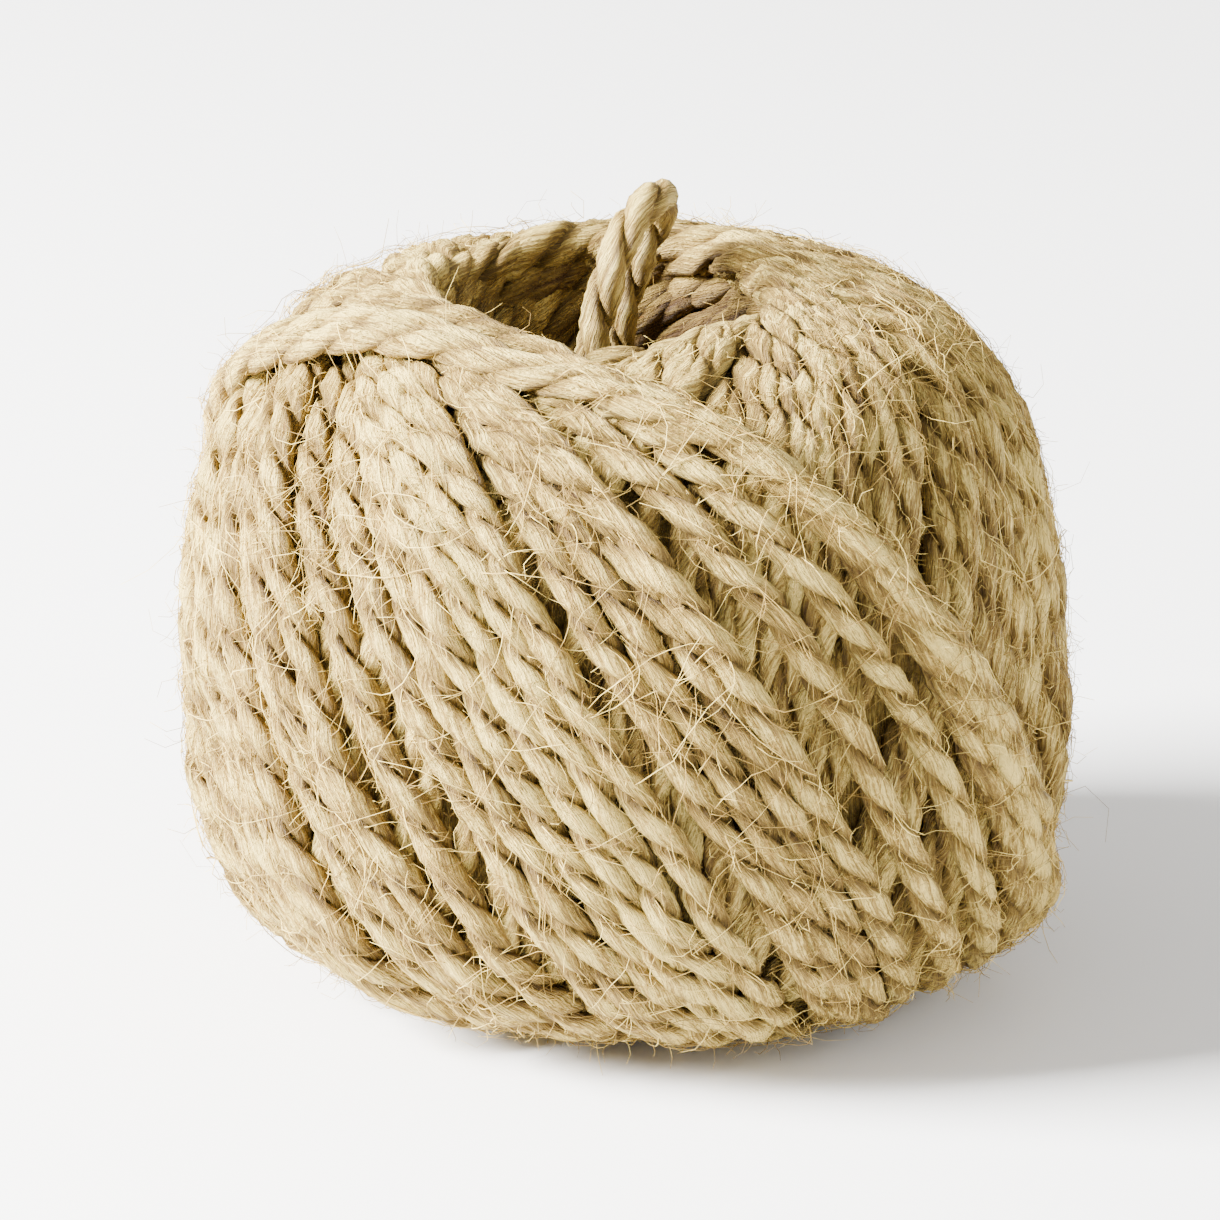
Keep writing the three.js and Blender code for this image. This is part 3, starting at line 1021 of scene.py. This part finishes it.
def fibre_tubes(gather, rng, paths, radius):
    """Closed three-sided tubes along many paths at once; paths is (fibres, rings, 3)."""
    fibres, rings = paths.shape[:2]
    ahead = unit(np.gradient(paths, axis=1))
    aside = unit(np.cross(ahead, unit(rng.normal(size=(fibres, 1, 3)))))
    other = np.cross(ahead, aside)
    taper = np.linspace(1.0, TIP, rings)[None, :, None, None]
    angles = (np.arange(TUBE_SIDES) * FULL / TUBE_SIDES)[:, None]
    radius = np.reshape(radius, (-1, 1, 1, 1)) * taper
    points = paths[:, :, None] + radius * (np.cos(angles) * aside[:, :, None]
                                           + np.sin(angles) * other[:, :, None])
    first = gather.count + np.arange(fibres)[:, None, None] * rings * TUBE_SIDES
    gather.quads.append((tube_faces(rings, TUBE_SIDES, False) + first).reshape(-1, 4))
    gather.triangles.append((end_caps(rings, TUBE_SIDES) + first).reshape(-1, 3))
    gather.points.append(points.reshape(-1, 3))
    run = STREAK_RUN * np.linspace(0, 1, rings)[None, :, None, None]
    run = run + rng.uniform(0, STREAK_SHIFT, (fibres, 1, 1, 1))
    fibre = np.broadcast_to(run, (fibres, rings, TUBE_SIDES, 1)) * np.array([0.0, 0.0, 1.0])
    gather.fibre.append(fibre.reshape(-1, 3))
    tone = rng.normal(FIBRE_TONE, TONE_SPREAD, (fibres, 1, 1))
    gather.tone.append(np.broadcast_to(tone, (fibres, rings, TUBE_SIDES)).ravel())
    gather.count += fibres * rings * TUBE_SIDES


def curled(rng, starts, ahead, out, length):
    """Paths of fibre ends: each leaves along the ply, lifts off and curls."""
    count = len(starts)
    lift = rng.uniform(*END_RISE, (count, 1))
    turn = rng.uniform(-1, 1, (count, 1))
    forward = ahead * np.where(rng.random((count, 1)) < 0.5, 1, -1)
    first = unit(forward + lift * out + END_TURN * turn * np.cross(out, ahead))
    second = unit(np.cross(first, unit(rng.normal(size=(count, 3)))) - BACK_IN * out)
    bend = rng.uniform(*END_BEND, (count, 1))[:, None]
    swept = bend * np.linspace(0, 1, END_RINGS)[None, :, None]
    curl = np.sin(swept) * first[:, None] + (1 - np.cos(swept)) * second[:, None]
    return starts[:, None] + np.reshape(length, (-1, 1, 1)) / bend * curl


def add_fibre_ends(gather, rng, starts, ahead, out):
    """Adds curled fibre ends of mixed lengths at the starts."""
    length = rng.gamma(END_SHAPE, END_SPREAD, len(starts)) + SHORTEST_END
    paths = curled(rng, starts, ahead, out, length)
    radius = settings().fibre.radius / MM * rng.uniform(*END_THICKNESS, len(starts))
    fibre_tubes(gather, rng, paths, radius)


def walked(rng, outside, starts, headings, length, rings, lift, sway):
    """Paths of fibres that lie over the turns, following the surface of the winding."""
    place, heading = starts.copy(), headings.copy()
    step = np.reshape(length, (-1, 1)) / (rings - 1) / OUTLINE_ACROSS
    bend = rng.normal(0, sway, (len(starts), 1))
    places = [place]
    for _ in range(rings - 1):
        bend = SWAY_KEPT * bend + rng.normal(0, sway * SWAY_NEW, bend.shape)
        heading = unit(heading + bend * np.cross(place, heading))
        place = unit(place + step * heading)
        heading = unit(heading - place * (heading * place).sum(1, keepdims=True))
        places.append(place)
    places = np.stack(places, axis=1)
    kept = (places[..., 2].max(1) < WALK_TOP) & (places[..., 2].min(1) > WALK_FOOT)
    places, lift = places[kept], lift[kept]
    height = outside.at(places)
    for _ in range(2):
        padded = np.pad(height, ((0, 0), (1, 1)), mode="edge")
        height = np.maximum(height, (padded[:, :-2] + 2 * height + padded[:, 2:]) / 4)
    share = np.linspace(0, 1, rings)[None, :]
    waves = rng.uniform(*HUMPS, (len(places), 1))
    humps = np.sin(math.pi * share) + 0.5 * np.sin(2 * math.pi * share * waves)
    height = height - BEDDED + np.reshape(lift, (-1, 1)) * np.abs(humps)
    return places * height[..., None]


class TWINE_OT_loose_fibres(Operator):
    """Adds the fibre ends, lying fibres and strays of the hairy twine"""
    bl_idname = "twine.loose_fibres"
    bl_label = "Loose fibres"

    def execute(self, context):
        spec, size = settings().fibre, settings().twine.diameter / MM / 2
        rng = np.random.default_rng(17)
        made = winding()
        lines, heights, sides, showing = (
            np.stack([turn[key] for turn in made["turns"]])
            for key in ("line", "height", "side", "showing"))
        shown = np.argwhere(showing)
        weight = np.where(lines[tuple(shown.T)][:, 2] > SMOOTH_CROWN, CROWN_SHARE, 1.0)
        weight /= weight.sum()

        def picks(count):
            turn, place = shown[rng.choice(len(shown), size=count, p=weight)].T
            ahead = unit(lines[turn, (place + 1) % SAMPLES] - lines[turn, place - 1])
            return lines[turn, place], heights[turn, place], sides[turn, place], ahead

        for half in (1, 2):
            ends = Gather()
            line, height, side, ahead = picks(spec.short_count // 2)
            across = rng.uniform(-ROOT_EDGE, ROOT_EDGE, (len(line), 1))
            crest = np.sqrt(1 - across ** 2)
            starts = (line * (height[:, None] + ROOT_OUT * crest * size)
                      + ROOT_ASIDE * across * size * side)
            add_fibre_ends(ends, rng, starts, ahead, unit(line * crest + side * across))
            ends.piece(f"fibre_ends_{half}")
        lying = Gather()
        # turned from the twine in radians, length, rings, lift off the turns, sway and thickness
        for turned, length, rings, lift, sway, thick in (
                (rng.normal(0, 0.5, spec.lying_count), rng.gamma(3.0, 2.4, spec.lying_count) + 2,
                 LYING_RINGS, (0.1, 0.9), 0.24, (0.7, 1.3)),
                (rng.uniform(-1.5, 1.5, spec.stray_count), rng.uniform(8, 22, spec.stray_count),
                 STRAY_RINGS, (0.2, 1.2), 0.22, (0.9, 2.2))):
            line, _, side, ahead = picks(len(turned))
            heading = unit(ahead * np.cos(turned)[:, None] + side * np.sin(turned)[:, None])
            lifts = rng.uniform(*lift, len(turned))
            paths = walked(rng, made["outside"], line, heading, length, rings, lifts, sway)
            fibre_tubes(lying, rng, paths, spec.radius / MM * rng.uniform(*thick, len(paths)))
        lying.piece("lying_fibres")
        return {"FINISHED"}


# ---- panel and registration


class TWINE_PT_panel(Panel):
    bl_idname = "TWINE_PT_panel"
    bl_label = "Jute twine ball"
    bl_space_type = "VIEW_3D"
    bl_region_type = "UI"
    bl_category = "Twine"

    def draw(self, context):
        for operator in OPERATORS:
            self.layout.operator(operator.bl_idname)


OPERATORS = (
    TWINE_OT_stage,
    TWINE_OT_pull_loop,
    TWINE_OT_core,
    TWINE_OT_outer_turns,
    TWINE_OT_funnel_turns,
    TWINE_OT_loose_fibres,
)
CLASSES = (TwineSettings, FibreSettings, JuteColours, StageSettings, TwineBallSettings,
           *OPERATORS, TWINE_PT_panel)


def register():
    for each in CLASSES:
        bpy.utils.register_class(each)
    bpy.types.Scene.twine_ball = PointerProperty(type=TwineBallSettings)


def unregister():
    del bpy.types.Scene.twine_ball
    for each in reversed(CLASSES):
        bpy.utils.unregister_class(each)


def main():
    register()
    for operator in OPERATORS:
        group, action = operator.bl_idname.split(".")
        getattr(getattr(bpy.ops, group), action)()


if __name__ == "__main__":
    main()
